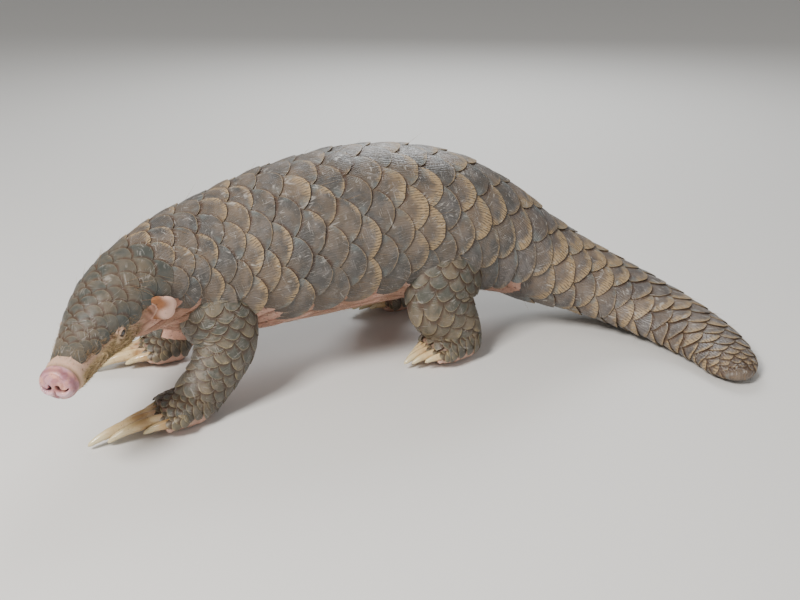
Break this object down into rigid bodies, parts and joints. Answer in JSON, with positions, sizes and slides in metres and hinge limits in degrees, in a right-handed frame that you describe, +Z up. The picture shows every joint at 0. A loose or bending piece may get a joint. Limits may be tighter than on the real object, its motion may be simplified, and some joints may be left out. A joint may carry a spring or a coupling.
{
  "type": "standing chinese pangolin model",
  "caption": "Life-size still model of a Chinese pangolin standing on four legs, head turned aside, tail laid in a curve.",
  "frame": {"origin": "on the floor, under the middle of the whole animal's box", "axes": "+Z up; the snout points to -X and the tail runs to +X; the animal's left side is -Y"},
  "size_m": [0.6472, 0.3501, 0.203],
  "materials": {
    "scales": "horny scales, taupe to slate, worn and scratched, satin",
    "skin": "bare pink skin with fine folds",
    "claws": "ivory claws, smooth, on pale feet",
    "eyes": "dark wet gloss"
  },
  "bodies": {
    "root": {"head": "scales", "neck": "scales", "trunk_front": "scales", "trunk_rear": "scales", "tail_root": "scales", "tail_middle": "scales", "tail_tip": "scales", "ear_left": "skin", "ear_right": "skin", "eye_left": "eyes", "eye_right": "eyes", "foreleg_left": "scales", "foreleg_right": "scales", "forefoot_left": "claws", "forefoot_right": "claws", "hindleg_left": "scales", "hindleg_right": "scales", "hindfoot_left": "claws", "hindfoot_right": "claws"}
  },
  "joints": []
}
